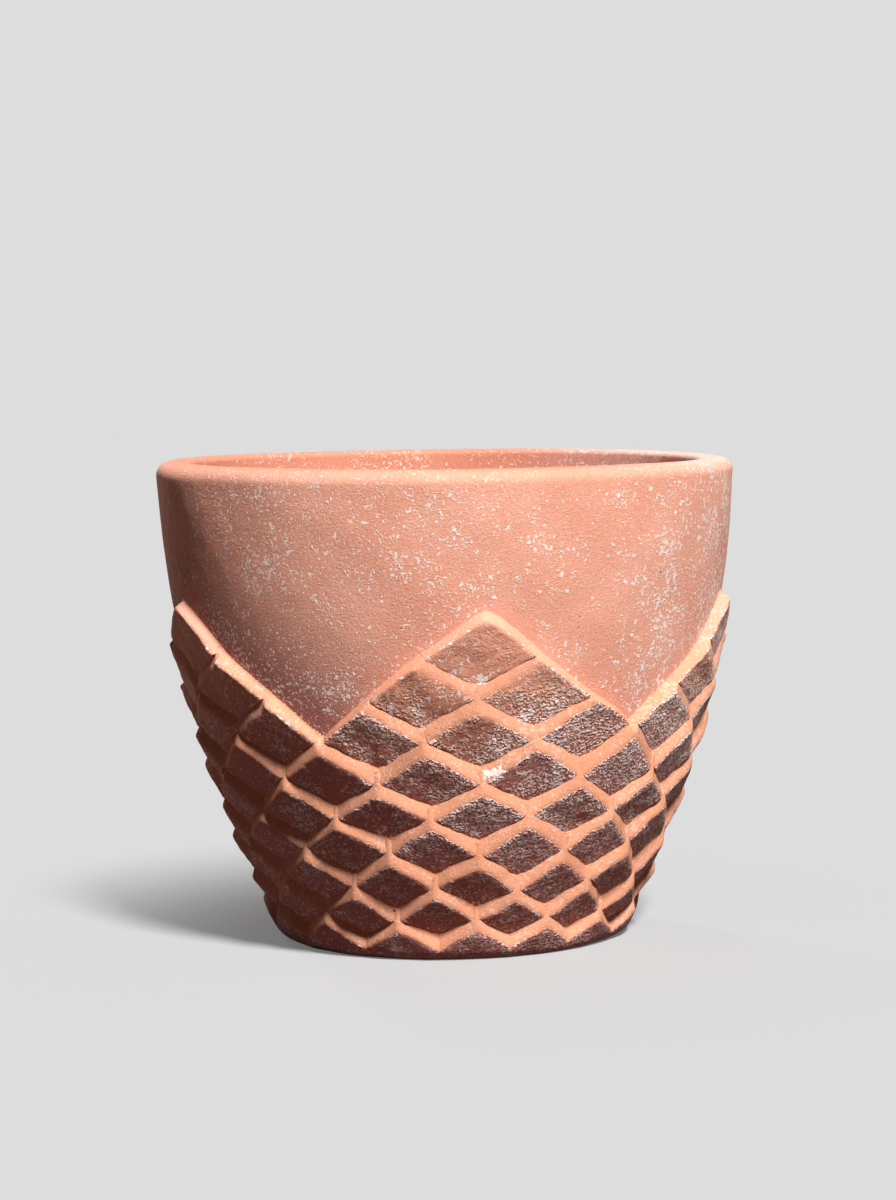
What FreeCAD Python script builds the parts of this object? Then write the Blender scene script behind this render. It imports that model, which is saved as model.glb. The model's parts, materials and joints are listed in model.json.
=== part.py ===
import FreeCAD, Part
import math
import os

# A round terracotta pot, put together from clay pieces that are luted with slip before firing:
# a floor slab, a wall, a rim roll, a corner coil, a foot band and eight rows of pointed scales.
# Millimetres, +Z up, origin at the middle of the underside, one peak of the scales towards -Y.

# Outside of the wall: a wide taper up to the knee, then two steeper stretches up to the rim.
# Each inset is how much less its radius is than the rim's. The inside bends at the knee alone.
POT_HEIGHT = 396.0
RIM_RADIUS = 240.0
SHOULDER_HEIGHT = 290.0
SHOULDER_INSET = 11.0
KNEE_HEIGHT = 162.0
KNEE_INSET = 38.5
BASE_INSET = 104.0
WALL_THICKNESS = 28.0

# Floor slab, the foot of the wall that stands round it, and the coil pressed into their corner
SLAB_THICKNESS = 28.0
FOOT_THICKNESS = 21.0
DRAIN_RADIUS = 20.0
COIL_LEG = 7.0

# Roll of clay round the mouth, each edge of its lip rounded over in a few flats
RIM_ROLL_HEIGHT = 28.0
LIP_OUTER_ROUNDING = 14.0
LIP_OUTER_FLAT_COUNT = 2
LIP_INNER_ROUNDING = 9.0
LIP_INNER_FLAT_COUNT = 2

# Relief of scales: heights of the highest tips and of the foot band's tips
PEAKS = 5
COLUMNS_PER_PEAK = 3
ROWS = 8
PEAK_TIP_HEIGHT = 285.0
FOOT_TIP_HEIGHT = 39.5
LAST_PITCH_SHARE = 0.775

# One scale: a ledge along each upper edge, then a flat face that leans in towards the lower point.
# Its back is flat as well, on a seat pared into the wall, and thinnest at the side corners.
EDGE_THICKNESS = 3.0
CREST_THICKNESS = 10.5
LEDGE_DROP = 11.0
SEAT_DEPTH = 1.0

# The foot band is about as thick at the floor as at its crests, so it stands nearly upright
BAND_FOOT_THICKNESS = 11.0

# Blanks and cuts run this far past what is left of them
OVERRUN = 30.0

FULL_TURN = 360.0
QUARTER_TURN = FULL_TURN / 4
ORIGIN = FreeCAD.Vector(0, 0, 0)
UP = FreeCAD.Vector(0, 0, 1)

COLUMN_ANGLE = FULL_TURN / (PEAKS * COLUMNS_PER_PEAK)
HALF_COLUMN = COLUMN_ANGLE / 2
RIM_SEAT_HEIGHT = POT_HEIGHT - RIM_ROLL_HEIGHT
BASE_RADIUS = RIM_RADIUS - BASE_INSET
SLAB_RADIUS = BASE_RADIUS - FOOT_THICKNESS
PROFILE = [
    (0, BASE_RADIUS),
    (KNEE_HEIGHT, RIM_RADIUS - KNEE_INSET),
    (SHOULDER_HEIGHT, RIM_RADIUS - SHOULDER_INSET),
    (RIM_SEAT_HEIGHT, RIM_RADIUS),
]


def section(radius, height):
    """A point of a section that is turned about the pot's axis."""
    return FreeCAD.Vector(radius, 0, height)


def revolved(corners):
    """The ring or disc that a closed section makes when it turns once round the pot's axis."""
    outline = Part.makePolygon(corners + corners[:1])
    return Part.Face(outline).revolve(ORIGIN, UP, FULL_TURN)


def wall_radius(height):
    """Outside radius of the wall."""
    for (low, low_radius), (high, high_radius) in zip(PROFILE, PROFILE[1:]):
        if height <= high:
            return low_radius + (high_radius - low_radius) * (height - low) / (high - low)


def wall_side(inset, heights):
    """Corners of the wall's section at these heights, moved inwards by inset."""
    return [section(wall_radius(height) - inset, height) for height in heights]


def coil_toe():
    """Where the corner coil runs out on the floor."""
    return section(SLAB_RADIUS - COIL_LEG, SLAB_THICKNESS)


def slab_edge(heights):
    """Corners on the upright edge of the slab, or above it."""
    return [section(SLAB_RADIUS, height) for height in heights]


def base_slab():
    """The floor inside the foot of the wall, with its drain hole, and a bevelled edge for the coil."""
    edge = slab_edge((0, SLAB_THICKNESS - COIL_LEG)) + [coil_toe()]
    return revolved(edge + [section(DRAIN_RADIUS, SLAB_THICKNESS), section(DRAIN_RADIUS, 0)])


def wall(scales):
    """The built-up body round the slab and coil, with a flat seat pared into it for each scale."""
    outside = wall_side(0, (0, KNEE_HEIGHT, SHOULDER_HEIGHT, RIM_SEAT_HEIGHT))
    inside = wall_side(WALL_THICKNESS, (RIM_SEAT_HEIGHT, KNEE_HEIGHT))
    foot = slab_edge((SLAB_THICKNESS + COIL_LEG, 0))
    return revolved(outside + inside + foot).cut(scales)


def rounding(centre_radius, size, start_angle, flats):
    """Corners of a quarter round at the lip, as flats, with its angle measured up from outwards."""
    centre = section(centre_radius, POT_HEIGHT - size)
    corners = []
    for step in range(flats + 1):
        angle = math.radians(start_angle + QUARTER_TURN * step / flats)
        corners.append(centre + section(math.cos(angle), math.sin(angle)) * size)
    return corners


def rim_roll():
    inner_radius = RIM_RADIUS - WALL_THICKNESS
    seat = [section(inner_radius, RIM_SEAT_HEIGHT), section(RIM_RADIUS, RIM_SEAT_HEIGHT)]
    outer_centre = RIM_RADIUS - LIP_OUTER_ROUNDING
    outer_edge = rounding(outer_centre, LIP_OUTER_ROUNDING, 0, LIP_OUTER_FLAT_COUNT)
    inner_centre = inner_radius + LIP_INNER_ROUNDING
    inner_edge = rounding(inner_centre, LIP_INNER_ROUNDING, QUARTER_TURN, LIP_INNER_FLAT_COUNT)
    return revolved(seat + outer_edge + inner_edge)


def corner_coil():
    """The thin coil pressed into the groove between the wall and the slab's bevelled edge."""
    return revolved(slab_edge((SLAB_THICKNESS - COIL_LEG, SLAB_THICKNESS + COIL_LEG)) + [coil_toe()])


def row_levels():
    """Heights of the tips of each row, the foot band's last: the pitch shrinks evenly on the way down."""
    mean_pitch = (PEAK_TIP_HEIGHT - FOOT_TIP_HEIGHT) / ROWS
    first_pitch = 2 * mean_pitch / (1 + LAST_PITCH_SHARE)
    pitch_step = first_pitch * (1 - LAST_PITCH_SHARE) / (ROWS - 1)
    levels = [PEAK_TIP_HEIGHT]
    for row in range(ROWS + 1):
        levels.append(levels[-1] - first_pitch + pitch_step * row)
    return levels


LEVELS = row_levels()


def around(angle, radius, height):
    """A point at an angle in degrees from -Y, turning towards +X."""
    turn = math.radians(angle)
    return FreeCAD.Vector(radius * math.sin(turn), -radius * math.cos(turn), height)


def on_relief(angle, height, thickness):
    """A point that stands thickness proud of the wall."""
    return around(angle, wall_radius(height) + thickness, height)


def trimmed(solid, first, second, third, keep):
    """The solid without what lies across the plane of three points from the point keep."""
    normal = (second - first).cross(third - first)
    if normal.dot(keep - first) > 0:
        normal = -normal
    size = 2 * (POT_HEIGHT + RIM_RADIUS)
    waste = Part.makeBox(size, size, size, FreeCAD.Vector(-size / 2, -size / 2, 0))
    waste.Placement = FreeCAD.Placement(first, FreeCAD.Rotation(UP, normal)).multiply(waste.Placement)
    return solid.cut(waste)


def side_trimmed(solid, start, end, angle, keep):
    """The solid cut along a joint that runs from start to end and straight in towards the axis."""
    return trimmed(solid, start, end, start + around(angle, OVERRUN, 0), keep)


def peak_trimmed(solid, tip_height, shoulder_height, keep):
    """The solid cut to one column, with a tip at the top and a ledge along each edge beside it."""
    tip = on_relief(0, tip_height, EDGE_THICKNESS)
    crest = on_relief(0, tip_height - LEDGE_DROP, CREST_THICKNESS)
    for side in (-HALF_COLUMN, HALF_COLUMN):
        shoulder = on_relief(side, shoulder_height, EDGE_THICKNESS)
        solid = trimmed(solid, tip, shoulder, crest, keep)
        solid = side_trimmed(solid, tip, shoulder, side / 2, keep)
        solid = trimmed(solid, ORIGIN, UP, around(side, OVERRUN, 0), keep)
    return solid


def scale(row):
    """One scale of a row, facing -Y: it fits its neighbours edge to edge, and its seat in the wall."""
    tip_height, side_height, point_height = LEVELS[row - 1], LEVELS[row], LEVELS[row + 1] + LEDGE_DROP
    shoulder_height = side_height + LEDGE_DROP
    keep = on_relief(0, side_height, 0)
    crest = on_relief(0, tip_height - LEDGE_DROP, CREST_THICKNESS)
    point = on_relief(0, point_height, EDGE_THICKNESS)
    reach = RIM_RADIUS + OVERRUN
    blank_height = tip_height - point_height + 2 * OVERRUN
    blank_corner = FreeCAD.Vector(-reach, -reach, point_height - OVERRUN)
    blank = Part.makeBox(2 * reach, reach, blank_height, blank_corner)
    faced = trimmed(blank, crest, point, crest + section(OVERRUN, 0), keep)
    seat_low = on_relief(HALF_COLUMN, side_height, -SEAT_DEPTH)
    seat_high = on_relief(HALF_COLUMN, shoulder_height, -SEAT_DEPTH)
    backed = trimmed(faced, seat_low, seat_high, seat_low + section(OVERRUN, 0), keep)
    solid = peak_trimmed(backed, tip_height, shoulder_height, keep)
    for side in (-HALF_COLUMN, HALF_COLUMN):
        corner = on_relief(side, side_height, EDGE_THICKNESS)
        solid = side_trimmed(solid, corner, point, side / 2, keep)
    return solid


def row_angles(row):
    """Column angles of a row: it widens by one scale per peak until the rows close into rings."""
    per_peak = min(row, COLUMNS_PER_PEAK)
    shift = HALF_COLUMN * ((row - per_peak) % 2)
    first = shift - HALF_COLUMN * (per_peak - 1)
    peak_angle = COLUMN_ANGLE * COLUMNS_PER_PEAK
    return [first + COLUMN_ANGLE * i + peak_angle * peak for peak in range(PEAKS) for i in range(per_peak)]


def turned_copies(solid, angles):
    copies = []
    for angle in angles:
        copy = solid.copy()
        copy.rotate(ORIGIN, UP, angle)
        copies.append(copy)
    return copies


def scale_row(row):
    return Part.makeCompound(turned_copies(scale(row), row_angles(row)))


def foot_band():
    """The ring below the last row: one peak per column, fused, over a smooth taper to the floor."""
    tip_height, shoulder_height = LEVELS[ROWS], LEVELS[ROWS + 1] + LEDGE_DROP
    crest_height = tip_height - LEDGE_DROP
    keep = on_relief(0, crest_height - LEDGE_DROP, 0)
    foot_radius = BASE_RADIUS + BAND_FOOT_THICKNESS
    crest_radius = wall_radius(crest_height) + CREST_THICKNESS
    blank_height = tip_height + OVERRUN
    top_radius = foot_radius + (crest_radius - foot_radius) * blank_height / crest_height
    blank = Part.makeCone(foot_radius, top_radius, blank_height)
    core = revolved(wall_side(0, (0, KNEE_HEIGHT)) + [section(0, KNEE_HEIGHT), ORIGIN])
    peak = peak_trimmed(blank, tip_height, shoulder_height, keep).cut(core)
    peaks = turned_copies(peak, row_angles(ROWS + 1))
    return peaks[0].multiFuse(peaks[1:]).removeSplitter()


def main():
    scale_rows = {f"scale_row_{row}": scale_row(row) for row in range(1, ROWS + 1)}
    pieces = {
        "base_slab": base_slab(),
        "wall": wall(list(scale_rows.values())),
        "rim_roll": rim_roll(),
        "corner_coil": corner_coil(),
        "foot_band": foot_band(),
        **scale_rows,
    }
    os.makedirs("parts", exist_ok=True)
    for name, shape in pieces.items():
        volumes = [round(solid.Volume) for solid in shape.Solids]
        print(name, "solids", len(volumes), "valid", shape.isValid(), "first volume", volumes[0])
        shape.exportStep(f"parts/{name}.step")


main()
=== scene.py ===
import json
import math
import bpy
import numpy as np
from mathutils import Euler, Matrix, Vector


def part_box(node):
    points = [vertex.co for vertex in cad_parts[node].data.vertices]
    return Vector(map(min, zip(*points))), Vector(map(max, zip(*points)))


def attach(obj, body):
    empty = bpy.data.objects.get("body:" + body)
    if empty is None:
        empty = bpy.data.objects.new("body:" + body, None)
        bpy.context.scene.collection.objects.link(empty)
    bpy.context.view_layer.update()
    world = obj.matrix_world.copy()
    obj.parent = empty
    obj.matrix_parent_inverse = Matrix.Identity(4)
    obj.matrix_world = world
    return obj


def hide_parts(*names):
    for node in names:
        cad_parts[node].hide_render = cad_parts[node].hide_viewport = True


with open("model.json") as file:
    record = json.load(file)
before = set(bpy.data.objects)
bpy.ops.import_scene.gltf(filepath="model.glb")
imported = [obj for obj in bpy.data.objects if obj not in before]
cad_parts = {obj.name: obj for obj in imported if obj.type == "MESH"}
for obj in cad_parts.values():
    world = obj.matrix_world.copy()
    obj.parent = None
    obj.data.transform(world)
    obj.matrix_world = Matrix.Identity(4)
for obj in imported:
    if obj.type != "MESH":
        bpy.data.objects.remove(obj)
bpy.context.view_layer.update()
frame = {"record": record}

# A handmade terracotta cachepot: a smooth wall with a thick soft lip, a lower wall covered with pointed
# scales in zigzag rows, and a plain foot band. Metres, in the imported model's frame.

PEAKS = 5
COLUMNS_PER_PEAK = 3
ROWS = 8
MILLIMETRE = 0.001
FULL_TURN = 2 * math.pi
HALF_COLUMN = FULL_TURN / (PEAKS * COLUMNS_PER_PEAK) / 2

# Outside of the wall: a straight taper, then a long curve through three points (height, radius)
TAPER_FOOT = (0.0, 0.135)
TAPER_TOP = (0.075, 0.1685)
CURVE_MIDDLE = (0.2215, 0.216)
WALL_THICKNESS = 0.028
WALL_FOOT_THICKNESS = 0.035
LIP_OUTER_ROUNDING = 0.0105
LIP_INNER_ROUNDING = 0.0045
LIP_SINK = 0.0004
LIP_TILT = 0.0022

# Relief of the scales above the wall: a lit ledge from each joint down to the crest, then the face
CREST_THICKNESS = 0.0140
PEAK_THICKNESS = 0.0105
POINT_THICKNESSES = (0.0020, 0.0045)
FACE_FLAT_SHARE = 0.8
LEAN_REACHES = (0.0003, 0.0008)
LEDGE_REACH = 0.011
CORNER_REACH = 0.003
BORDER_SLOPE = 1.7

# A ledge starts at a share of the height of the face above, at a scale's middle and at its two corners, and
# lower than that on the left flank; a point stops at a share of the solids' distance above the next tip
LEDGE_START_SHARES = (0.86, 0.98)
LEFT_STEP_SHARE = 0.34
POINT_DROP_SHARE = 0.75

# Soft and worn edges of the scales and of the foot band
CREST_SOFTNESS = 0.0011
BORDER_SOFTNESS = 0.0011
RIDGE_ROUNDING_SHARE = math.sqrt(0.0012)
POINT_ROUNDING = 0.0013
POINT_WIDTH_SHARE = 0.12
FACE_EDGE_WIDTH = 0.0005
DEEPEST_CHIP = 0.001
CHIPPED_WIDTH = 0.0014
BAND_FOOT_THICKNESS = 0.011
TOE_ROUNDING = 0.005
TOE_HEIGHT = 0.003

# How far a scale runs on behind the row above, and how deep its back and its skin are sunk into the wall
RUN_OUT = 0.009
SUNK_BACK = 0.005
SUNK_SKIN = 0.00025

# Unevenness left by the potter's hands, as (amount, size of the lumps, seed)
WALL_WAVES = ((0.0011, 0.33, 1), (0.00042, 0.075, 2), (0.00010, 0.017, 3))
LIP_WAVE = (0.00035, 0.30, 4)
LEDGE_WAVE = (0.00025, 0.018, 11)
BORDER_WAVE = (0.0009, 0.05, 12)
FACE_WAVES = ((0.00045, 0.026, 13), (0.00017, 0.007, 14))
CHIP_WAVE = (0.0005, 0.014, 15)
BAND_WAVE = (0.0005, 0.03, 16)
SLIDE_WAVE = (0.0012, 0.10, 21)
RISE_WAVE = (0.0012, 0.09, 22)
WAVE_COUNT = 11
WAVE_SIZE_SHARES = (0.7, 1.5)
FIRST_ROW_SEED = 100

# Stretches round the pot where the rows were pressed on out of true, as (angle of the middle, width)
RIGHT_SIDE = (math.radians(75), math.radians(55))
LEFT_PEAK = (math.radians(-82), math.radians(22))
LEFT_FLANK = (math.radians(-88), math.radians(34))
FRONT_PEAK = (0, math.radians(25))
FRONT_VALLEY = (math.radians(34), math.radians(13))
VALLEY_SPAN = 0.024

# How far the rows went there
GATHER_TURN = math.radians(5.5)
LEAN_TURN = math.radians(1.2)
LEFT_PEAK_TURN = math.radians(4.5)
LEFT_PEAK_RISE = 0.009
FRONT_PEAK_RISE = 0.004
VALLEY_RISE = 0.007
SAG_DEPTH = 0.004

# How much of the sag, the gathering and the lean there is at some heights up the wall
SETTLE_HEIGHTS = (0, 0.040, 0.075, 0.110, 0.148, 0.181, 0.250, 0.285)
SAG_SHARES = (0, 1.0, 0.9, 0.1, 0.3, -0.2, -0.2, -0.4)
GATHER_SHARES = (1.6, 1.6, 1.5, 1.1, 1.0, 0.5, 0.3, 0.2)
LEAN_SHARES = (0.5, 0.5, 0.1, 0, 0, 1.5, 1.7, 0.7)

# Fineness of the meshes
SCALE_COLUMNS = 37
SCALE_CLIMBS = 45
HALF_COLUMN_STEPS = 18
BAND_CLIMBS = 27
TURN_STEPS = 360
LIP_STEPS = 11
INSIDE_STEPS = 100
RING_STEP = 0.003
SHARP_ANGLE = math.radians(50)

# Colours of the clay, of what lies on it, and of shade painted on it
WALL_COLOUR = (0.88, 0.42, 0.29, 1)
WALL_PALE = (0.96, 0.50, 0.36, 1)
WALL_DEEP = (0.74, 0.31, 0.20, 1)
# Painted shade: the inside and the crown of the lip get this darker clay, to hold them down where the sun
# falls strongly on them
INNER_SHADE_COLOUR = (0.68, 0.30, 0.195, 1)
LEDGE_COLOUR = (0.76, 0.34, 0.185, 1)
# Partly patina, partly painted shade: the scales' faces, which lean down away from the sun, darkened more
# towards the foot
PATINA_AND_SHADE_COLOUR = (0.50, 0.20, 0.175, 1)
# Painted shade: the wall low on its left, where it turns down and away from the sun
LOW_LEFT_SHADE_COLOUR = (0.40, 0.17, 0.15, 1)
LIME_COLOUR = (1.0, 0.89, 0.83, 1)
# Painted shade: the near-black of the small pits, which are only dents in the bump
PIT_SHADE_COLOUR = (0.10, 0.04, 0.03, 1)

# Cloudy patterns in the clay, as (size, detail) or (size, detail, roughness)
CLOUDS = (0.11, 5.0)
BLOTCHES = (0.024, 4.0)
GRAIN = (0.0016, 2.0, 0.7)
COARSE_GRAIN = (0.0045, 4.0, 0.65)
LIME_DRIFTS = (0.065, 3.0)
LIME_CLUSTERS = (0.016, 1.0)
LIME_FLECKS = (0.0040, 1.0)
LIME_DUST = (0.0020, 1.0)
LIME_CURLS = (0.0088, 0.0)
LIME_BREAKS = (0.0036, 1.0)
CRUST_EDGES = (0.0045, 2.0)
# Patches of white specks on the faces: partly lime powder, partly painted glints of sun on their grain
DUST_AND_GLINT_PATCHES = (0.03, 3.0)
BEADS = (0.0023, 1.0)

# How ragged flecks and spots come out, as (size, reach)
FLECK_WARP = (0.0022, 0.0016)
SPOT_WARP = (0.004, 0.003)

# Small pits in the clay; their radius is a share of the spacing
PIT_SPACING = 0.014
PIT_RADIUS_SHARE = 0.10
PIT_CHANCE_SHARE = 0.35

# Where a pattern begins to show and where it shows fully
CLOUD_BOUNDS = (0.35, 0.68)
FLECK_BOUNDS = (0.680, 0.715)
DUST_BOUNDS = (0.672, 0.71)
CURL_LEVEL = 0.60
CURL_BOUNDS = (0.026, 0.010)
BREAK_BOUNDS = (0.570, 0.62)
CRUST_BOUNDS = (0.63, 0.68)
FACE_BOUNDS = (0.6, 0.9)
DUST_AND_GLINT_BOUNDS = (0.40, 0.53)
CRUMB_BOUNDS = (0.36, 0.66)
POWDER_AND_GLINT_BOUNDS = (0.50, 0.56)

# Fades, as (first value, last value, share at the first, share at the last); those by X, by height and by
# the low left, which is X plus a slope times height, are in metres
BLOTCH_FADE = (0.55, 0.80, 0.0, 0.45)
GRAIN_FADE = (0.30, 0.70, 0.30, 0.0)
LIME_BY_X = (0.07, 0.22, 0.0, 0.28)
LIME_BY_HEIGHT = (0.30, 0.19, 0.0, 0.12)
LIP_LIME_BY_HEIGHT = (0.375, 0.388, 1.0, 0.5)
INNER_LIME_BY_X = (0.08, 0.20, 0.0, 0.4)
SHADE_BY_LOW_LEFT = (0.31, 0.15, 0.0, 0.85)
LOW_LEFT_SLOPE = 1.5
LEDGE_COLOUR_BY_HEIGHT = (0.30, 0.20, 0.0, 0.8)
PATINA_AND_SHADE_BY_HEIGHT = (0.25, 0.14, 0.0, 0.9)
DUST_AND_GLINT_BY_HEIGHT = ((0.05, 0.12, 0.3, 1.0), (0.235, 0.195, 0.1, 1.0))
DUST_AND_GLINT_PER_METRE = 0.8

# How strongly each pattern counts
DRIFT_SHARE = 0.29
CLUSTER_SHARE = 0.18
CRUST_SHARE = 0.35
CRUST_CORE_SHARE = 0.7
FACE_GRAIN_SHARE = 0.5
LEDGE_LIME_SHARE = 0.25
LIME_COVER_SHARE = 0.85
PIT_SHADE_SHARE = 0.85
COARSE_RELIEF_SHARE = 0.6
LIME_RELIEF_SHARE = 0.6
CRUMB_RELIEF_SHARE = 4.0
RELIEF_STRENGTH = 0.55
RELIEF_DEPTH = 0.0010
CLAY_ROUGHNESS = 0.88
CLAY_SPECULAR = 0.25

# Places (turn, height, size) where a crust of lime is left on the scales
LIME_PATCHES = (
    (math.radians(-2), 0.233, 0.008),
    (math.radians(8), 0.204, 0.011),
    (math.radians(1.5), 0.158, 0.0115),
)

# Camera: at the photograph's viewing angle, a little off level
CAMERA_PLACE = (-0.3744, -2.6638, 0.50)
CAMERA_AIM = (0.0, 0.0, 0.2772)
CAMERA_LENS = 96.7
CAMERA_ROLL = math.radians(-1.1)

# Light: a soft sun from the front right, a weak one from behind, and an even sky
SUN_TURN = math.radians(16)
SUN_HEIGHT = math.radians(51.5)
SUN_STRENGTH = 6.0
BACK_SUN_TURN = math.radians(-160)
BACK_SUN_HEIGHT = math.radians(25)
BACK_SUN_STRENGTH = 0.6
SUN_SPREAD = math.radians(10)
SKY_STRENGTH = 0.03

# Floor: its own colour and a faint glow near the pot, then the backdrop's; bounced light sees it dimmer
BACKDROP = (0.723, 0.723, 0.723, 1)
FLOOR_COLOUR = (0.363, 0.363, 0.363, 1)
FLOOR_GLOW = (0.14, 0.14, 0.14, 1)
FLOOR_BOUNCE_COLOUR = (0.080, 0.046, 0.042, 1)
FLOOR_FADE = (0.12, 0.56)
FLOOR_REACH = 40.0


def wall_curve():
    """Coefficients of the curve of the wall, from the taper up to where the lip rounds over."""
    rim_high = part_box("rim_roll")[1]
    heights, radii = zip(TAPER_TOP, CURVE_MIDDLE, (rim_high.z - LIP_OUTER_ROUNDING, rim_high.x))
    return np.polyfit(heights, radii, 2)


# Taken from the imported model
WALL_CURVE = wall_curve()
POT_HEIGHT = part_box("rim_roll")[1].z
RIM_SEAT_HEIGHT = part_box("rim_roll")[0].z
SLAB_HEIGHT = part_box("base_slab")[1].z
SLAB_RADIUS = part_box("base_slab")[1].x
COIL_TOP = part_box("corner_coil")[1].z
COIL_SIZE = COIL_TOP - SLAB_HEIGHT

# Heights of the tips of the rows, then of the foot band, and one more level that the spacing leads on to
LEVELS = [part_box(f"scale_row_{row}")[1].z for row in range(1, ROWS + 1)]
LEVELS.append(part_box("foot_band")[1].z)
LEVELS.append(3 * (LEVELS[-1] - LEVELS[-2]) + LEVELS[-3])
PEAK_HEIGHT = LEVELS[0]
VALLEY_HEIGHT = LEVELS[COLUMNS_PER_PEAK]

# Heights between which the points grow thicker, and how far a point stops above the tip two rows below
POINT_HEIGHTS = (LEVELS[COLUMNS_PER_PEAK + 1], LEVELS[COLUMNS_PER_PEAK - 1])
LEDGE_DROP = POINT_DROP_SHARE * (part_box("scale_row_1")[0].z - LEVELS[2])


def wall_radius(height):
    """Outside radius of the wall at some heights."""
    taper = np.interp(height, *zip(TAPER_FOOT, TAPER_TOP))
    return np.where(height < TAPER_TOP[0], taper, np.polyval(WALL_CURVE, height))


def around(turn, radius, height):
    """Points at angles from -Y, turning towards +X, as rows of coordinates."""
    return np.stack([radius * np.sin(turn), -radius * np.cos(turn), height + 0 * turn], axis=-1)


def wave(points, amount, size, seed):
    """Smooth unevenness, mostly within the amount up and down, whose lumps are about size across."""
    rng = np.random.default_rng(seed)
    total = 0
    for _ in range(WAVE_COUNT):
        direction = rng.normal(size=3)
        direction *= FULL_TURN / (size * rng.uniform(*WAVE_SIZE_SHARES) * np.linalg.norm(direction))
        total = total + np.sin(points @ direction + rng.uniform(0, FULL_TURN))
    return amount * total / math.sqrt(WAVE_COUNT)


def hand_made(turn, height):
    """How far the potter's hands left the wall out of true."""
    points = around(turn, wall_radius(height), height)
    uneven = sum(wave(points, *one_wave) for one_wave in WALL_WAVES)
    return uneven * np.clip(height / RIM_SEAT_HEIGHT, 0, 1)


def near_turn(turn, middle, width):
    """1 at an angle round the pot, falling off softly to 0 on both sides of it."""
    away = (turn - middle + FULL_TURN / 2) % FULL_TURN - FULL_TURN / 2
    return np.exp(-((away / width) ** 2))


def settled(turn, height):
    """Where a place of the even pattern lies on the pot: the rows sag and crowd together towards +X."""
    points = around(turn, wall_radius(height), height)
    peak_share = np.interp(height, (VALLEY_HEIGHT, PEAK_HEIGHT), (0, 1))
    left_share = near_turn(turn, *LEFT_PEAK) * peak_share
    front_share = near_turn(turn, *FRONT_PEAK)
    from_valley = (height - VALLEY_HEIGHT) / VALLEY_SPAN
    valley_share = near_turn(turn, *FRONT_VALLEY) * np.exp(-(from_valley**2))
    gather_share = near_turn(turn, *RIGHT_SIDE) * np.interp(height, SETTLE_HEIGHTS, GATHER_SHARES)
    lean_share = front_share * np.interp(height, SETTLE_HEIGHTS, LEAN_SHARES)
    sag_share = (1 + np.sin(turn)) * np.interp(height, SETTLE_HEIGHTS, SAG_SHARES)
    slide = -GATHER_TURN * gather_share - LEAN_TURN * lean_share - LEFT_PEAK_TURN * left_share
    slide = slide + wave(points, *SLIDE_WAVE) / wall_radius(height)
    rise = LEFT_PEAK_RISE * left_share + FRONT_PEAK_RISE * front_share * peak_share
    rise = rise + VALLEY_RISE * valley_share - SAG_DEPTH * sag_share
    rise = rise + wave(points, *RISE_WAVE) * np.clip(height / LEVELS[ROWS], 0, 1)
    return turn + slide, height + rise


def soft_low(first, second, softness):
    """The lower of two heights, with the corner between them rounded."""
    return -softness * np.logaddexp(-first / softness, -second / softness)


def soft_rise(height, softness):
    """The height where it is above zero, coming up out of zero softly."""
    return softness * np.logaddexp(0, height / softness)


def new_piece(name, points, faces, material, nodes):
    """A smooth-shaded mesh object that rides on the part and stands for its CAD nodes."""
    mesh = bpy.data.meshes.new(name)
    mesh.from_pydata(points.tolist(), [], faces)
    mesh.validate()
    mesh.shade_smooth()
    mesh.set_sharp_from_angle(angle=SHARP_ANGLE)
    mesh.materials.append(material)
    piece = bpy.data.objects.new(name, mesh)
    bpy.context.scene.collection.objects.link(piece)
    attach(piece, "root")
    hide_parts(*nodes)
    return piece


def set_values(piece, name, values):
    """Stores one number per vertex for the materials to read."""
    attribute = piece.data.attributes.new(name, "FLOAT", "POINT")
    attribute.data.foreach_set("value", np.ascontiguousarray(values, dtype=np.float32).ravel())


def ring_faces(ring_count, steps):
    """Faces of rings of points that close into a tube round the axis."""
    faces = []
    for ring in range(ring_count):
        low, high = ring * steps, (ring + 1) % ring_count * steps
        for step in range(steps):
            after = (step + 1) % steps
            faces.append((low + step, low + after, high + after, high + step))
    return faces


def evenly(corners):
    """Points about a ring step apart along a line of (radius, height) corners, without the last."""
    points = []
    for start, end in zip(corners, corners[1:]):
        start, end = np.array(start), np.array(end)
        count = max(1, round(np.linalg.norm(end - start) / RING_STEP))
        points += [start + (end - start) * i / count for i in range(count)]
    return points


def lathe(name, section, nodes, material):
    """A piece turned from a closed section of (radius, height) points, left a little out of true."""
    section = np.array(section)
    turn = np.linspace(0, FULL_TURN, TURN_STEPS, endpoint=False)
    turns, radii = np.meshgrid(turn, section[:, 0])
    heights = np.meshgrid(turn, section[:, 1])[1]
    # 0 on the outside, 1 inside and across the lip's crown: where the inside's painted shade is laid
    inner_shade_share = np.clip((wall_radius(heights) - radii) / LIP_OUTER_ROUNDING, 0, 1)
    points = around(turns, radii + hand_made(turns, heights), heights)
    lift_share = np.clip((heights - RIM_SEAT_HEIGHT) / (POT_HEIGHT - RIM_SEAT_HEIGHT), 0, 1)
    points[..., 2] += lift_share * (wave(points, *LIP_WAVE) - LIP_SINK - LIP_TILT * np.sin(turns))
    piece = new_piece(name, points.reshape(-1, 3), ring_faces(len(section), TURN_STEPS), material, nodes)
    set_values(piece, "inner", inner_shade_share)


def rounding(centre_radius, size, start_angle, end_angle):
    """Section of a rounded edge of the lip, its angles measured up from outwards."""
    angles = np.linspace(start_angle, end_angle, LIP_STEPS)
    heights = POT_HEIGHT - size + size * np.sin(angles)
    return list(zip(centre_radius + size * np.cos(angles), heights))


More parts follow.
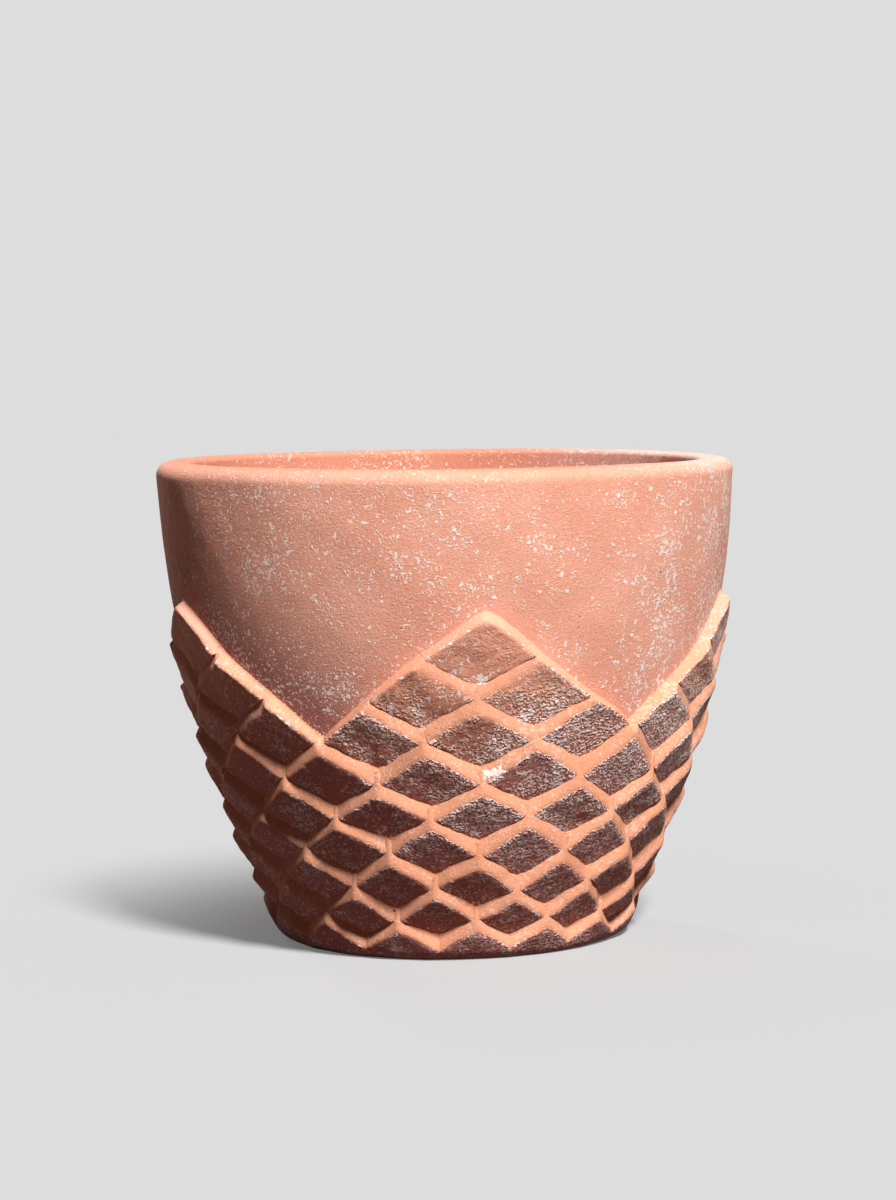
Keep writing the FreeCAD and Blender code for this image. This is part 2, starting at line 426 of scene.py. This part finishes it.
def wall_section():
    """The wall: up its outside, across the seat of the rim, down its inside and round the slab."""
    outer_heights = np.arange(0, RIM_SEAT_HEIGHT, RING_STEP)
    outside = [(float(wall_radius(height)), height) for height in outer_heights]
    inner_heights = np.linspace(RIM_SEAT_HEIGHT, COIL_TOP, INSIDE_STEPS)
    thickness_ends = (COIL_TOP, CURVE_MIDDLE[0]), (WALL_FOOT_THICKNESS, WALL_THICKNESS)
    inner_radii = wall_radius(inner_heights) - np.interp(inner_heights, *thickness_ends)
    inside = list(zip(inner_radii, inner_heights))
    seat = evenly([(float(wall_radius(RIM_SEAT_HEIGHT)), RIM_SEAT_HEIGHT), inside[0]])
    foot = evenly([(SLAB_RADIUS, COIL_TOP), (SLAB_RADIUS, 0), outside[0]])
    return outside + seat + inside[:-1] + foot


def rim_section():
    """The lip: the wall's line runs on into its outer rounding."""
    lip_start = POT_HEIGHT - LIP_OUTER_ROUNDING
    lean = math.atan(np.polyval(np.polyder(WALL_CURVE), lip_start))
    radius = float(wall_radius(lip_start))
    quarter_turn = FULL_TURN / 4
    outer = rounding(radius - LIP_OUTER_ROUNDING, LIP_OUTER_ROUNDING, -lean, quarter_turn)
    inner_radius = float(wall_radius(RIM_SEAT_HEIGHT)) - WALL_THICKNESS
    inner = rounding(inner_radius + LIP_INNER_ROUNDING, LIP_INNER_ROUNDING, quarter_turn, 2 * quarter_turn)
    seat = (float(wall_radius(RIM_SEAT_HEIGHT)), RIM_SEAT_HEIGHT)
    upright = evenly([seat, outer[0]])
    crown = evenly([outer[-1], inner[0]])
    inside = evenly([inner[-1], (inner_radius, RIM_SEAT_HEIGHT), seat])
    return upright + outer[:-1] + crown + inner[:-1] + inside


def slab_section():
    """The floor slab, bevelled for the coil, with the drain hole, which is the record's third mount."""
    edge = [(SLAB_RADIUS, 0), (SLAB_RADIUS, SLAB_HEIGHT - COIL_SIZE)]
    toe = (SLAB_RADIUS - COIL_SIZE, SLAB_HEIGHT)
    drain_radius = frame["record"]["mounts"][2]["dims"]["r_mm"] * MILLIMETRE
    drain = [(drain_radius, SLAB_HEIGHT), (drain_radius, 0)]
    return evenly(edge + [toe] + drain + edge[:1])


def coil_section():
    """The coil in the inside corner, as pressed into the slab's bevel and against the wall."""
    low, high = (SLAB_RADIUS, SLAB_HEIGHT - COIL_SIZE), (SLAB_RADIUS, COIL_TOP)
    toe = (SLAB_RADIUS - COIL_SIZE, SLAB_HEIGHT)
    return evenly([low, high, toe, low])


def row_columns(row):
    """Angle of each scale of a row, and whether its left and right edges lie open on the wall."""
    per_peak = min(row, COLUMNS_PER_PEAK)
    shift = HALF_COLUMN * ((row - per_peak) % 2)
    at_border = row <= COLUMNS_PER_PEAK
    columns = []
    for peak in range(PEAKS):
        for i in range(per_peak):
            turn = shift + HALF_COLUMN * (2 * i - per_peak + 1) + FULL_TURN / PEAKS * peak
            columns.append((turn, at_border and i == 0, at_border and i == per_peak - 1))
    return columns


def rounded_ridge(side):
    """Distance from a column's middle, with the ridge there rounded off."""
    return np.hypot(side, RIDGE_ROUNDING_SHARE)


def rounded_point(side):
    """How far the lower point of a scale is rounded up, by the distance from its middle."""
    return POINT_ROUNDING * np.exp(-((side / POINT_WIDTH_SHARE) ** 2))


def border_ledge(turn, height):
    """Height of the long ledge that runs straight from each peak down into the valleys beside it."""
    peak_turn = FULL_TURN / PEAKS
    from_peak = (turn + peak_turn / 2) % peak_turn - peak_turn / 2
    fall_share = rounded_ridge(from_peak / (peak_turn / 2))
    points = around(turn, wall_radius(height), height)
    border = PEAK_HEIGHT - (PEAK_HEIGHT - VALLEY_HEIGHT) * fall_share + wave(points, *BORDER_WAVE)
    return soft_rise(BORDER_SLOPE * (border - height), BORDER_SOFTNESS)


def flat_face(side, height, tip, point, lean=(0, 0)):
    """Height of a scale's face above the round wall: almost flat, and leaning by hand a little."""
    crest = tip - LEDGE_REACH
    crest_thickness = np.interp(tip, (VALLEY_HEIGHT, PEAK_HEIGHT), (CREST_THICKNESS, PEAK_THICKNESS))
    crest_radius = wall_radius(crest) + crest_thickness
    point_radius = wall_radius(point) + np.interp(point, POINT_HEIGHTS, POINT_THICKNESSES)
    climb_share = (height - point) / (crest - point)
    radius = point_radius + (crest_radius - point_radius + lean[1]) * climb_share + lean[0] * side
    return radius / np.cos(side * HALF_COLUMN * FACE_FLAT_SHARE) - wall_radius(height)


def ledge_reach(side):
    """How far the ledges come down: further at a scale's two side corners, which are pinched off."""
    return LEDGE_REACH + CORNER_REACH * side**4


def inner_ledge(row, side, turn, upper, height, crest_rise):
    """Height of a ledge between the face of the row above and the crest of this one."""
    above = flat_face(1 - np.abs(side), upper, LEVELS[row - 2], LEVELS[row] + LEDGE_DROP)
    step_share = LEFT_STEP_SHARE * near_turn(turn, *LEFT_FLANK) * (1 - np.abs(side))
    start = above * (np.interp(np.abs(side), (0, 1), LEDGE_START_SHARES) - step_share)
    return start + (crest_rise - start) * (upper - height) / ledge_reach(side)


def on_face_share(face, ledge):
    """1 on a face and 0 on the ledge above it, softly between them."""
    return 1 / (1 + np.exp((face - ledge) / FACE_EDGE_WIDTH))


def laid_on_wall(turns, height, proud):
    """Front points that stand proud of the wall where they settled, and back points sunk into it."""
    turns, height = settled(turns, height)
    radius = wall_radius(height) + hand_made(turns, height)
    front = around(turns, radius + proud - SUNK_SKIN, height)
    back = around(turns, radius - SUNK_BACK, height)
    return front, back


def scale(row, turn, left_open, right_open, rng):
    """Front points of one scale as a grid, how much of each lies on the face, and its two back edges."""
    tip, corner, point = LEVELS[row - 1], LEVELS[row], LEVELS[row + 1] + LEDGE_DROP
    climb = np.linspace(0, 1, SCALE_CLIMBS)[:, None]
    side = np.linspace(-1, 1, SCALE_COLUMNS) + 0 * climb
    upper = tip - (tip - corner - LEDGE_DROP) * rounded_ridge(side) + rounded_point(1 - np.abs(side))
    lower = point + (corner - point) * np.abs(side) + rounded_point(side)
    height = lower + (upper + RUN_OUT - lower) * climb
    turns = turn + side * HALF_COLUMN
    skin = around(turns, wall_radius(height), height)
    face = flat_face(side, height, tip, point, rng.uniform(-1, 1, 2) * LEAN_REACHES)
    face = face + sum(wave(skin, *one_wave) for one_wave in FACE_WAVES)
    # Below the valleys there is no border, so its ledge is put well above the face
    ledge = border_ledge(turns, height) if row <= COLUMNS_PER_PEAK + 1 else face + LEDGE_REACH
    if row > 1:
        crest_rise = flat_face(side, upper - ledge_reach(side), tip, point)
        inner = inner_ledge(row, side, turns, upper, height, crest_rise) + wave(skin, *LEDGE_WAVE)
        covered = np.where(side < 0, not left_open, not right_open)
        ledge = np.where(covered, np.minimum(inner, ledge), ledge)
    chips = np.clip(wave(skin, *CHIP_WAVE), 0, DEEPEST_CHIP) * np.exp(-(height - lower) / CHIPPED_WIDTH)
    front, back = laid_on_wall(turns, height, soft_low(ledge, face, CREST_SOFTNESS) - chips)
    return front, on_face_share(face, ledge), np.stack([back[0], back[-1]])


def scale_faces(start):
    """Faces of one closed scale: its front, its lower and upper returns, its back and its two sides."""
    across, climbs = SCALE_COLUMNS, SCALE_CLIMBS
    top = start + (climbs - 1) * across
    back_low = start + climbs * across
    back_high = back_low + across
    faces = []
    for i in range(climbs - 1):
        for j in range(across - 1):
            first = start + i * across + j
            faces.append((first, first + 1, first + across + 1, first + across))
    for j in range(across - 1):
        faces.append((start + j + 1, start + j, back_low + j, back_low + j + 1))
        faces.append((top + j, top + j + 1, back_high + j + 1, back_high + j))
        faces.append((back_low + j + 1, back_low + j, back_high + j, back_high + j + 1))
    left = [start + i * across for i in range(climbs)]
    right = [i + across - 1 for i in left]
    faces.append(tuple(left) + (back_high, back_low))
    faces.append(tuple(reversed(right)) + (back_low + across - 1, back_high + across - 1))
    return faces


def scale_row(row, material):
    """All the scales of one row, each closed by itself and a little different from the next."""
    rng = np.random.default_rng(FIRST_ROW_SEED + row)
    points, values, faces = [], [], []
    for turn, left_open, right_open in row_columns(row):
        front, face_share, back = scale(row, turn, left_open, right_open, rng)
        faces += scale_faces(sum(map(len, points)))
        points += [front.reshape(-1, 3), back.reshape(-1, 3)]
        values += [face_share.ravel(), np.zeros(back.shape[0] * back.shape[1])]
    name = f"scale_row_{row}"
    piece = new_piece(name + "_clay", np.concatenate(points), faces, material, [name])
    set_values(piece, "face", np.concatenate(values))


def foot_band(material):
    """The ring at the bottom: a zigzag of ledges over a smooth band that runs down to the floor."""
    tip, shoulder = LEVELS[ROWS], LEVELS[ROWS + 1] + LEDGE_DROP
    steps = 2 * PEAKS * COLUMNS_PER_PEAK * HALF_COLUMN_STEPS
    turn = np.linspace(0, FULL_TURN, steps, endpoint=False)
    first_turn = row_columns(ROWS + 1)[0][0]
    side = np.abs((turn - first_turn + HALF_COLUMN) % (2 * HALF_COLUMN) - HALF_COLUMN) / HALF_COLUMN
    upper = tip - (tip - shoulder) * rounded_ridge(side) + rounded_point(1 - side)
    climb = np.linspace(0, 1, BAND_CLIMBS)[:, None]
    height = (upper + RUN_OUT) * climb
    turns = turn + 0 * climb
    skin = around(turns, wall_radius(height), height)
    band_ends = (0, tip - LEDGE_REACH), (BAND_FOOT_THICKNESS, CREST_THICKNESS)
    band = np.interp(height, *band_ends) + wave(skin, *BAND_WAVE)
    crest_rise = np.interp(upper - ledge_reach(side), *band_ends)
    ledge = inner_ledge(ROWS + 1, side, turn, upper, height, crest_rise)
    toe = TOE_ROUNDING * np.exp(-height / TOE_HEIGHT)
    front, back = laid_on_wall(turns, height, soft_low(ledge, band, CREST_SOFTNESS) - toe)
    points = np.concatenate([front, back[::-1]]).reshape(-1, 3)
    piece = new_piece("foot_band_clay", points, ring_faces(2 * len(height), steps), material, ["foot_band"])
    face_share = on_face_share(band, ledge)
    set_values(piece, "face", np.concatenate([face_share, 0 * face_share]))


def add(tree, kind, inputs=None, **settings):
    """A new node, its settings made and its inputs given a value or a link."""
    node = tree.nodes.new(kind)
    for name, value in settings.items():
        setattr(node, name, value)
    for name, value in (inputs or {}).items():
        if isinstance(value, bpy.types.NodeSocket):
            tree.links.new(value, node.inputs[name])
        else:
            node.inputs[name].default_value = value
    return node


def math_node(tree, operation, first, second):
    return add(tree, "ShaderNodeMath", {0: first, 1: second}, operation=operation).outputs[0]


def vector_math(tree, operation, first, second):
    return add(tree, "ShaderNodeVectorMath", {0: first, 1: second}, operation=operation).outputs


def plus(tree, first, second):
    return math_node(tree, "ADD", first, second)


def minus(tree, first, second):
    return math_node(tree, "SUBTRACT", first, second)


def times(tree, first, second):
    return math_node(tree, "MULTIPLY", first, second)


def larger(tree, first, second):
    return math_node(tree, "MAXIMUM", first, second)


def ramp(tree, value, low, high, to_low=0.0, to_high=1.0):
    """The value brought from low..high to other ends, smoothly and no further."""
    inputs = {"Value": value, "From Min": low, "From Max": high, "To Min": to_low, "To Max": to_high}
    return add(tree, "ShaderNodeMapRange", inputs, interpolation_type="SMOOTHSTEP").outputs["Result"]


def noise(tree, place, size, detail, roughness=0.55):
    """A cloudy pattern of patches about size across."""
    inputs = {"Vector": place, "Scale": 1 / size, "Detail": detail, "Roughness": roughness}
    return add(tree, "ShaderNodeTexNoise", inputs).outputs["Fac"]


def axes_of(tree, place):
    return add(tree, "ShaderNodeSeparateXYZ", {"Vector": place}).outputs


def colour_mix(tree, share, first, second, blend="MIX"):
    """A mix of two colours, through the mix node's colour sockets."""
    inputs = {0: share, 6: first, 7: second}
    return add(tree, "ShaderNodeMix", inputs, data_type="RGBA", blend_type=blend).outputs[2]


def shader_mix(tree, share, first, second):
    inputs = {0: share, 1: first.outputs[0], 2: second.outputs[0]}
    return add(tree, "ShaderNodeMixShader", inputs)


def spots(tree, place, spacing, radius_share, chance_share):
    """Scattered round spots: where their cell has one, how deep inside it a point lies, from 0 to 1."""
    cell = add(tree, "ShaderNodeTexVoronoi", {"Vector": place, "Scale": 1 / spacing})
    draw = add(tree, "ShaderNodeSeparateColor", {"Color": cell.outputs["Color"]})
    there = math_node(tree, "LESS_THAN", draw.outputs["Red"], chance_share)
    inside = minus(tree, times(tree, draw.outputs["Green"], radius_share), cell.outputs["Distance"])
    return times(tree, ramp(tree, inside, 0.0, radius_share / 2), there)


def warped(tree, place, size, reach):
    """The place shifted by up to reach on each axis, in waves of a size, which makes spots ragged."""
    wobble = add(tree, "ShaderNodeTexNoise", {"Vector": place, "Scale": 1 / size}).outputs["Color"]
    shift = vector_math(tree, "MULTIPLY", wobble, (reach,) * 3)["Vector"]
    return vector_math(tree, "ADD", place, shift)["Vector"]


def centred(tree, pattern, share):
    """A share of how far a pattern lies above its middle."""
    return times(tree, minus(tree, pattern, 0.5), share)


def lime_bloom(tree, place):
    """How much lime shows: ragged flecks, curled marks and dust, in drifts that lie thicker to +X."""
    axes = axes_of(tree, place)
    drift = plus(tree, noise(tree, place, *LIME_DRIFTS), ramp(tree, axes["X"], *LIME_BY_X))
    drift = plus(tree, drift, ramp(tree, axes["Z"], *LIME_BY_HEIGHT))
    cluster = noise(tree, place, *LIME_CLUSTERS)
    more = plus(tree, centred(tree, drift, DRIFT_SHARE), centred(tree, cluster, CLUSTER_SHARE))
    flecks = noise(tree, warped(tree, place, *FLECK_WARP), *LIME_FLECKS)
    flecks = ramp(tree, plus(tree, flecks, more), *FLECK_BOUNDS)
    dust = ramp(tree, plus(tree, noise(tree, place, *LIME_DUST), more), *DUST_BOUNDS)
    curl = minus(tree, noise(tree, warped(tree, place, *SPOT_WARP), *LIME_CURLS), CURL_LEVEL)
    thin = ramp(tree, math_node(tree, "ABSOLUTE", curl, 0.0), *CURL_BOUNDS)
    broken = ramp(tree, plus(tree, noise(tree, place, *LIME_BREAKS), more), *BREAK_BOUNDS)
    return larger(tree, larger(tree, flecks, times(tree, thin, broken)), dust)


def lime_patches(tree, place):
    """The few larger crusts of lime, ragged at their edges."""
    total = 0.0
    ragged = noise(tree, place, *CRUST_EDGES)
    for turn, height, size in LIME_PATCHES:
        middle = around(turn, wall_radius(height) + CREST_THICKNESS / 2, height)
        away = vector_math(tree, "DISTANCE", place, middle)["Value"]
        crust = ramp(tree, plus(tree, ramp(tree, away, size, 0.0, 0.0, CRUST_SHARE), ragged), *CRUST_BOUNDS)
        near = ramp(tree, away, size, CRUST_CORE_SHARE * size)
        total = larger(tree, total, times(tree, crust, near))
    return total


def scale_finish(tree, place, grain, colour, lime):
    """On scales: orange ledges, faces darkened partly by weathering and partly by painted shade, and crumbs
    and fine white specks on the faces, partly lime and partly painted glints.
    """
    axes = axes_of(tree, place)
    colour = colour_mix(tree, ramp(tree, axes["Z"], *LEDGE_COLOUR_BY_HEIGHT), colour, LEDGE_COLOUR)
    face = add(tree, "ShaderNodeAttribute", attribute_name="face").outputs["Fac"]
    face = ramp(tree, plus(tree, face, times(tree, grain, FACE_GRAIN_SHARE)), *FACE_BOUNDS)
    # Partly patina, partly painted shade: faces that lean down from the sun are darkened, the more so the
    # lower they lie
    patina_and_shade = times(tree, face, ramp(tree, axes["Z"], *PATINA_AND_SHADE_BY_HEIGHT))
    colour = colour_mix(tree, patina_and_shade, colour, PATINA_AND_SHADE_COLOUR)
    # Partly lime powder, partly painted glints: white specks on the faces in patches, thicker towards the
    # sunlit +X side
    patches = plus(tree, noise(tree, place, *DUST_AND_GLINT_PATCHES), times(tree, axes["X"], DUST_AND_GLINT_PER_METRE))
    dust_and_glints = times(tree, face, ramp(tree, patches, *DUST_AND_GLINT_BOUNDS))
    for fade in DUST_AND_GLINT_BY_HEIGHT:
        dust_and_glints = times(tree, dust_and_glints, ramp(tree, axes["Z"], *fade))
    beads = noise(tree, place, *BEADS)
    crumbs = times(tree, ramp(tree, beads, *CRUMB_BOUNDS), dust_and_glints)
    powder_and_glints = times(tree, ramp(tree, beads, *POWDER_AND_GLINT_BOUNDS), dust_and_glints)
    lime = times(tree, lime, ramp(tree, face, 0.0, 1.0, LEDGE_LIME_SHARE, 1.0))
    lime = larger(tree, larger(tree, lime, powder_and_glints), lime_patches(tree, place))
    return colour, lime, crumbs


def smooth_finish(tree, place, colour, lime):
    """On smooth pieces: painted shade low on the left, less lime along the lip, and a darker colour inside
    and over the lip's crown, which is painted shade, with lime on it towards +X.
    """
    axes = axes_of(tree, place)
    # Painted shade: the wall darkens towards its low left, where it turns away from the sun
    low_left = plus(tree, axes["X"], times(tree, axes["Z"], LOW_LEFT_SLOPE))
    colour = colour_mix(tree, ramp(tree, low_left, *SHADE_BY_LOW_LEFT), colour, LOW_LEFT_SHADE_COLOUR)
    lime = times(tree, lime, ramp(tree, axes["Z"], *LIP_LIME_BY_HEIGHT))
    # Painted shade: the inside and the lip's crown take the darker inside colour, with some lime towards +X
    inner = add(tree, "ShaderNodeAttribute", attribute_name="inner").outputs["Fac"]
    shaded_inside_with_lime = colour_mix(tree, ramp(tree, axes["X"], *INNER_LIME_BY_X), INNER_SHADE_COLOUR, LIME_COLOUR)
    return colour_mix(tree, inner, colour, shaded_inside_with_lime), lime


def terracotta(name, has_scales):
    """Fired clay: cloudy colour, fine grain, lime and pits, the pits coloured with painted shade, with the
    finish of scales or smooth pieces.
    """
    material = bpy.data.materials.new(name)
    material.use_nodes = True
    tree = material.node_tree
    shader = tree.nodes["Principled BSDF"]
    place = add(tree, "ShaderNodeTexCoord").outputs["Object"]
    grain = noise(tree, place, *GRAIN)
    relief = plus(tree, grain, times(tree, noise(tree, place, *COARSE_GRAIN), COARSE_RELIEF_SHARE))
    lime = lime_bloom(tree, place)
    clouds = ramp(tree, noise(tree, place, *CLOUDS), *CLOUD_BOUNDS)
    blotches = ramp(tree, noise(tree, place, *BLOTCHES), *BLOTCH_FADE)
    colour = colour_mix(tree, clouds, WALL_COLOUR, WALL_PALE)
    colour = colour_mix(tree, blotches, colour, WALL_DEEP)
    if has_scales:
        colour, lime, crumbs = scale_finish(tree, place, grain, colour, lime)
        relief = plus(tree, relief, times(tree, crumbs, CRUMB_RELIEF_SHARE))
    else:
        colour, lime = smooth_finish(tree, place, colour, lime)
    colour = colour_mix(tree, ramp(tree, grain, *GRAIN_FADE), colour, WALL_DEEP, "MULTIPLY")
    pits = spots(tree, warped(tree, place, *SPOT_WARP), PIT_SPACING, PIT_RADIUS_SHARE, PIT_CHANCE_SHARE)
    colour = colour_mix(tree, times(tree, lime, LIME_COVER_SHARE), colour, LIME_COLOUR)
    # Painted shade inside the pits
    colour = colour_mix(tree, times(tree, pits, PIT_SHADE_SHARE), colour, PIT_SHADE_COLOUR)
    tree.links.new(colour, shader.inputs["Base Color"])
    shader.inputs["Roughness"].default_value = CLAY_ROUGHNESS
    shader.inputs["Specular IOR Level"].default_value = CLAY_SPECULAR
    relief = minus(tree, plus(tree, relief, times(tree, lime, LIME_RELIEF_SHARE)), pits)
    bump_inputs = {"Height": relief, "Strength": RELIEF_STRENGTH, "Distance": RELIEF_DEPTH}
    tree.links.new(add(tree, "ShaderNodeBump", bump_inputs).outputs["Normal"], shader.inputs["Normal"])
    return material


def add_camera():
    data = bpy.data.cameras.new("camera")
    data.lens = CAMERA_LENS
    camera = bpy.data.objects.new("camera", data)
    bpy.context.scene.collection.objects.link(camera)
    camera.location = CAMERA_PLACE
    aim = (Vector(CAMERA_AIM) - Vector(CAMERA_PLACE)).to_track_quat("-Z", "Y")
    camera.rotation_euler = (aim @ Euler((0, 0, CAMERA_ROLL)).to_quaternion()).to_euler()
    bpy.context.scene.camera = camera


def add_sun(name, turn, height, strength):
    data = bpy.data.lights.new(name, "SUN")
    data.energy = strength
    data.angle = SUN_SPREAD
    sun = bpy.data.objects.new(name, data)
    bpy.context.scene.collection.objects.link(sun)
    towards = Vector(around(turn, math.cos(height), math.sin(height)))
    sun.rotation_euler = towards.to_track_quat("Z", "Y").to_euler()


def seen_directly(tree):
    """1 on rays that come straight from the camera or by way of a mirror-like or clear surface."""
    path = add(tree, "ShaderNodeLightPath").outputs
    rays = plus(tree, path["Is Camera Ray"], path["Is Glossy Ray"])
    return math_node(tree, "MINIMUM", plus(tree, rays, path["Is Transmission Ray"]), 1.0)


def add_sky():
    """An even weak light from all round, with a pale backdrop to be seen in its place."""
    world = bpy.data.worlds.new("sky")
    bpy.context.scene.world = world
    world.use_nodes = True
    tree = world.node_tree
    sky = tree.nodes["Background"]
    sky.inputs["Strength"].default_value = SKY_STRENGTH
    backdrop = add(tree, "ShaderNodeBackground", {"Color": BACKDROP})
    mix = shader_mix(tree, seen_directly(tree), sky, backdrop)
    tree.links.new(mix.outputs[0], tree.nodes["World Output"].inputs["Surface"])


def floor_material():
    """Pale and shadowed near the pot, the backdrop's colour far away, and dimmer to bounced light."""
    material = bpy.data.materials.new("floor")
    material.use_nodes = True
    tree = material.node_tree
    tree.nodes.remove(tree.nodes["Principled BSDF"])
    lit = add(tree, "ShaderNodeBsdfDiffuse", {"Color": FLOOR_COLOUR})
    glow = add(tree, "ShaderNodeEmission", {"Color": FLOOR_GLOW})
    near = add(tree, "ShaderNodeAddShader", {0: lit.outputs[0], 1: glow.outputs[0]})
    far = add(tree, "ShaderNodeEmission", {"Color": BACKDROP})
    place = add(tree, "ShaderNodeTexCoord").outputs["Object"]
    distance = add(tree, "ShaderNodeVectorMath", {0: place}, operation="LENGTH").outputs["Value"]
    shown = shader_mix(tree, ramp(tree, distance, *FLOOR_FADE), near, far)
    bounced = add(tree, "ShaderNodeBsdfDiffuse", {"Color": FLOOR_BOUNCE_COLOUR})
    mix = shader_mix(tree, seen_directly(tree), bounced, shown)
    tree.links.new(mix.outputs[0], tree.nodes["Material Output"].inputs["Surface"])
    return material


def add_floor():
    """A pale floor that takes the shadow and runs into the backdrop far away."""
    mesh = bpy.data.meshes.new("floor")
    corners = [(FLOOR_REACH * x, FLOOR_REACH * y, 0) for x, y in ((-1, -1), (1, -1), (1, 1), (-1, 1))]
    mesh.from_pydata(corners, [], [(0, 1, 2, 3)])
    mesh.materials.append(floor_material())
    floor = bpy.data.objects.new("floor", mesh)
    bpy.context.scene.collection.objects.link(floor)


def main():
    smooth_clay = terracotta("smooth_terracotta", False)
    scaled_clay = terracotta("scaled_terracotta", True)
    lathe("wall_clay", wall_section(), ["wall"], smooth_clay)
    lathe("rim_clay", rim_section(), ["rim_roll"], smooth_clay)
    lathe("slab_clay", slab_section(), ["base_slab"], smooth_clay)
    lathe("coil_clay", coil_section(), ["corner_coil"], smooth_clay)
    foot_band(scaled_clay)
    for row in range(1, ROWS + 1):
        scale_row(row, scaled_clay)
    add_camera()
    add_sun("sun", SUN_TURN, SUN_HEIGHT, SUN_STRENGTH)
    add_sun("back_sun", BACK_SUN_TURN, BACK_SUN_HEIGHT, BACK_SUN_STRENGTH)
    add_sky()
    add_floor()
    bpy.context.scene.view_settings.view_transform = "Standard"


main()
